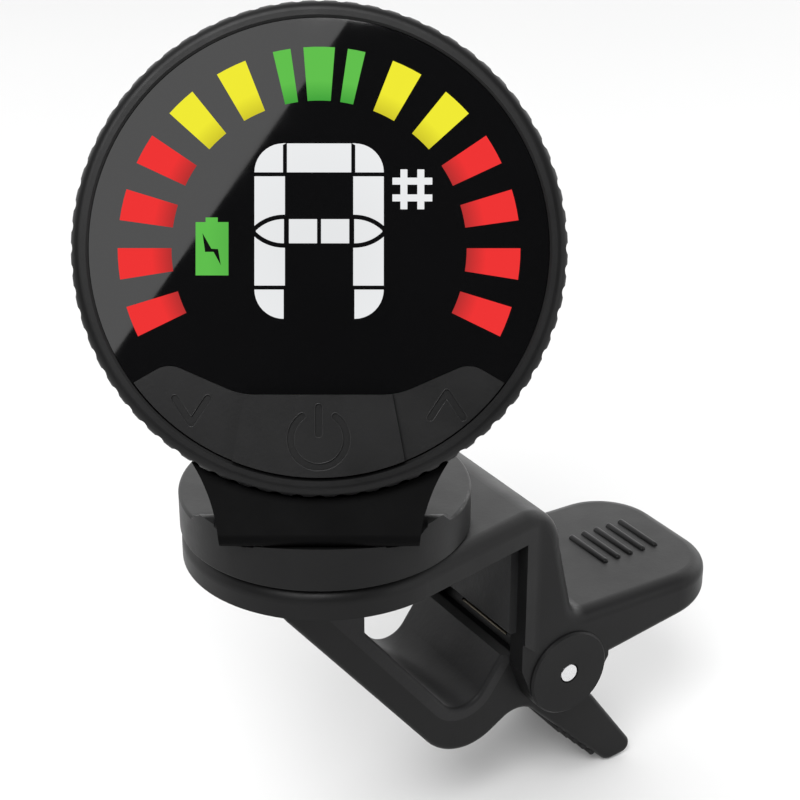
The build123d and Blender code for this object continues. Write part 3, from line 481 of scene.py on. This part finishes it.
# the spring's second leg bears on the tail of the lower jaw
pin = Vector(joints["jaw_open"]["pos_m"])
COIL_R = 2.85 * MM
COIL_HALF = 3.2 * MM
WIRE_T = 0.8 * MM
LEG_LEAVES = radians(20)
LEG_LENGTH = 5.7 * MM
LEG_WRAP = 30              # degrees of the coil that the leg follows
LEG_STEPS = 6
leg_points = []
for turn in range(LEG_STEPS + 1):
    angle = LEG_LEAVES + radians(LEG_WRAP * (1 - turn / LEG_STEPS))
    leg_points.append(pin + Vector((COIL_R * cos(angle), COIL_HALF, COIL_R * sin(angle))))
leg_way = Vector((sin(LEG_LEAVES), 0, -cos(LEG_LEAVES)))
leg_points.append(leg_points[-1] + leg_way * LEG_LENGTH)
wire("spring_tail_leg", leg_points, WIRE_T, "lower_jaw")

# the wire that bridges the coil on the side of the mouth
BRIDGE_R = 3.6 * MM
BRIDGE_T = 0.56 * MM
BRIDGE_AT = radians(147)
BRIDGE_HALF = 3.6 * MM
bridge = pin + Vector((BRIDGE_R * cos(BRIDGE_AT), 0, BRIDGE_R * sin(BRIDGE_AT)))
bridge_points = [bridge + Vector((0, y, 0)) for y in (-BRIDGE_HALF, 0, BRIDGE_HALF)]
wire("spring_bridge", bridge_points, BRIDGE_T, "upper_arm")


# ---------------------------------------------------------------- beads round the engraved key signs, lighter as a painted highlight
GROOVE = 0.3               # half the width of a groove
RIM_T = 0.075
RIM_SINK = 0.3             # share of the bead's thickness that its centre lies below the key's face
POWER_AT = (0, -15.25)
POWER_R = 2.24
POWER_GAP = 36             # degrees each side of the top
POWER_BAR = (-12.705, -14.855)  # centres of its round ends
ARROW_X = 10.22
DOWN_ARROW_Y = -12.99
UP_ARROW_Y = -12.55
ARROW_HALF_W = 1.32
ARROW_HALF_H = 1.0


def groove_rim(name, points, body):
    """A fine bead along the edge of a groove in a key's face, in a lighter copy of the keypad rubber: a
    painted highlight.
    """
    face_depth = (span(body, normal)[1] - ring_lip) / MM
    places = [on_face(x, y, face_depth - RIM_T * RIM_SINK) for x, y in points]
    wire(name, places, RIM_T * MM, body, KEY_EDGE_HIGHLIGHT, True)


def power_ring():
    """Edge of the open ring of the power sign."""
    first = 90 + POWER_GAP
    last = 450 - POWER_GAP
    ends = [arc(POWER_R, angle, angle, POWER_AT)[0] for angle in (first, last)]
    return (
        arc(POWER_R + GROOVE, first, last, POWER_AT) + arc(GROOVE, last, last + 180, ends[1], 30)
        + arc(POWER_R - GROOVE, last, first, POWER_AT) + arc(GROOVE, first + 180, first + 360, ends[0], 30)
    )


def arrow(hand, middle):
    """Edge of an arrow that points up for hand 1 and down for hand -1."""
    lean = degrees(atan2(2 * ARROW_HALF_H, ARROW_HALF_W))
    feet = [(side * ARROW_HALF_W, -ARROW_HALF_H) for side in (-1, 1)]
    tip = (0, ARROW_HALF_H)
    points = (
        arc(GROOVE, lean + 90, 90 - lean, tip, 15) + arc(GROOVE, 90 - lean, -90 - lean, feet[1], 30)
        + [(0, ARROW_HALF_H - GROOVE / cos(radians(lean)))] + arc(GROOVE, lean - 90, lean - 270, feet[0], 30)
    )
    return [(hand * ARROW_X + x, middle + hand * y) for x, y in points]


groove_rim("power_ring_rim", power_ring(), "key_power")
power_bar = arc(GROOVE, 0, 180, (0, POWER_BAR[0]), 30) + arc(GROOVE, 180, 360, (0, POWER_BAR[1]), 30)
groove_rim("power_bar_rim", power_bar, "key_power")
groove_rim("down_arrow_rim", arrow(-1, DOWN_ARROW_Y), "key_down")
groove_rim("up_arrow_rim", arrow(1, UP_ARROW_Y), "key_up")


# ---------------------------------------------------------------- stage, light and camera
camera_place = Vector((-70.7, -126.5, 84.0)) * MM
camera_at = Vector((0.475, 0.767, -0.431)).normalized()
camera_side = Vector((0.85, -0.526, 0.0)).normalized()
camera_up = camera_side.cross(camera_at)
camera_turn = Matrix((camera_side, camera_up, -camera_at)).transposed().to_4x4()
camera_data = bpy.data.cameras.new("camera")
camera_data.lens = 85.5
camera_data.sensor_width = 36
camera_data.clip_start = 0.005
camera = bpy.data.objects.new("camera", camera_data)
camera.matrix_world = Matrix.Translation(camera_place) @ camera_turn
bpy.context.scene.collection.objects.link(camera)
bpy.context.scene.camera = camera
bpy.context.scene.view_settings.view_transform = "Standard"

FLOOR_GAP = 0.1 * MM
floor_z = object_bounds()[0][2] - FLOOR_GAP
FLOOR_HALF = 3.0
floor_mesh = bpy.data.meshes.new("floor")
floor_mesh.from_pydata(
    [(-FLOOR_HALF, -FLOOR_HALF, floor_z), (FLOOR_HALF, -FLOOR_HALF, floor_z),
     (FLOOR_HALF, FLOOR_HALF, floor_z), (-FLOOR_HALF, FLOOR_HALF, floor_z)], [], [(0, 1, 2, 3)],
)
floor_material, floor_tree, floor_shader = new_material("floor_white")
floor_shade = remap(floor_tree, noise(floor_tree, 6, 2), 0.0, 1.0)
floor_tree.links.new(
    blend_colours(floor_tree, floor_shade, (0.59, 0.59, 0.59), (0.61, 0.61, 0.61)),
    floor_shader.inputs["Base Color"],
)
floor_shader.inputs["Roughness"].default_value = 0.9
floor_shader.inputs["Emission Color"].default_value = (1, 1, 1, 1)
floor_shader.inputs["Emission Strength"].default_value = 0.09
floor_mesh.materials.append(floor_material)
floor = bpy.data.objects.new("floor", floor_mesh)
bpy.context.scene.collection.objects.link(floor)


def area_light(name, place, target, size, power, size_y=None):
    """A soft light of a given size in metres, aimed from a place to a target."""
    data = bpy.data.lights.new(name, "AREA")
    data.shape = "RECTANGLE"
    data.size = size
    data.size_y = size_y or size
    data.energy = power
    light = bpy.data.objects.new(name, data)
    light.location = place
    light.rotation_euler = (Vector(target) - Vector(place)).to_track_quat("-Z", "Y").to_euler()
    bpy.context.scene.collection.objects.link(light)
    return light


def from_camera(x, y, back):
    """A place beside the camera, in metres: right, up, and behind it."""
    return camera_place + camera_side * x + camera_up * y - camera_at * back


centre = face_origin
area_light("overhead", (0.05, 0.10, 0.70), (0.005, 0.0, 0.0), 0.9, 0.5)
area_light("key", (-0.333, -0.311, 0.62), (0.01, 0.0, -0.01), 0.36, 4.8)
area_light("right_rim", (0.45, -0.02, 0.28), centre, 0.28, 0.25)
area_light("right_fill", centre + (normal * 0.5 + lateral * 0.87) * 0.5, centre, 0.25, 0.45)

# the window mirrors this panel: its slanting edge crosses the glass
panel_mid = from_camera(-0.191, 0.169, 0.45)
panel = area_light("window_panel", panel_mid, panel_mid + camera_at, 0.30, 0.85, 0.46)
panel_axis = Vector((0.575, 0.818, 0))
turn = Matrix((
    camera_side * panel_axis.y - camera_up * panel_axis.x,
    camera_side * panel_axis.x + camera_up * panel_axis.y,
    -camera_at,
)).transposed().to_4x4()
panel.matrix_world = Matrix.Translation(panel_mid) @ turn

world = bpy.data.worlds.new("studio")
world.use_nodes = True
sky = world.node_tree
background = sky.nodes["Background"]
coords = sky.nodes.new("ShaderNodeTexCoord")
facing = sky.nodes.new("ShaderNodeVectorMath")
facing.operation = "DOT_PRODUCT"
facing.inputs[1].default_value = camera_at
sky.links.new(coords.outputs["Generated"], facing.inputs[0])
ramp = sky.nodes.new("ShaderNodeMapRange")
ramp.inputs["From Min"].default_value = -0.75
ramp.inputs["From Max"].default_value = 0.65
ramp.inputs["To Min"].default_value = 0.03
ramp.inputs["To Max"].default_value = 2.6
ramp.interpolation_type = "SMOOTHSTEP"
sky.links.new(facing.outputs["Value"], ramp.inputs["Value"])
sky.links.new(ramp.outputs["Result"], background.inputs["Strength"])
background.inputs["Color"].default_value = (1, 1, 1, 1)
bpy.context.scene.world = world
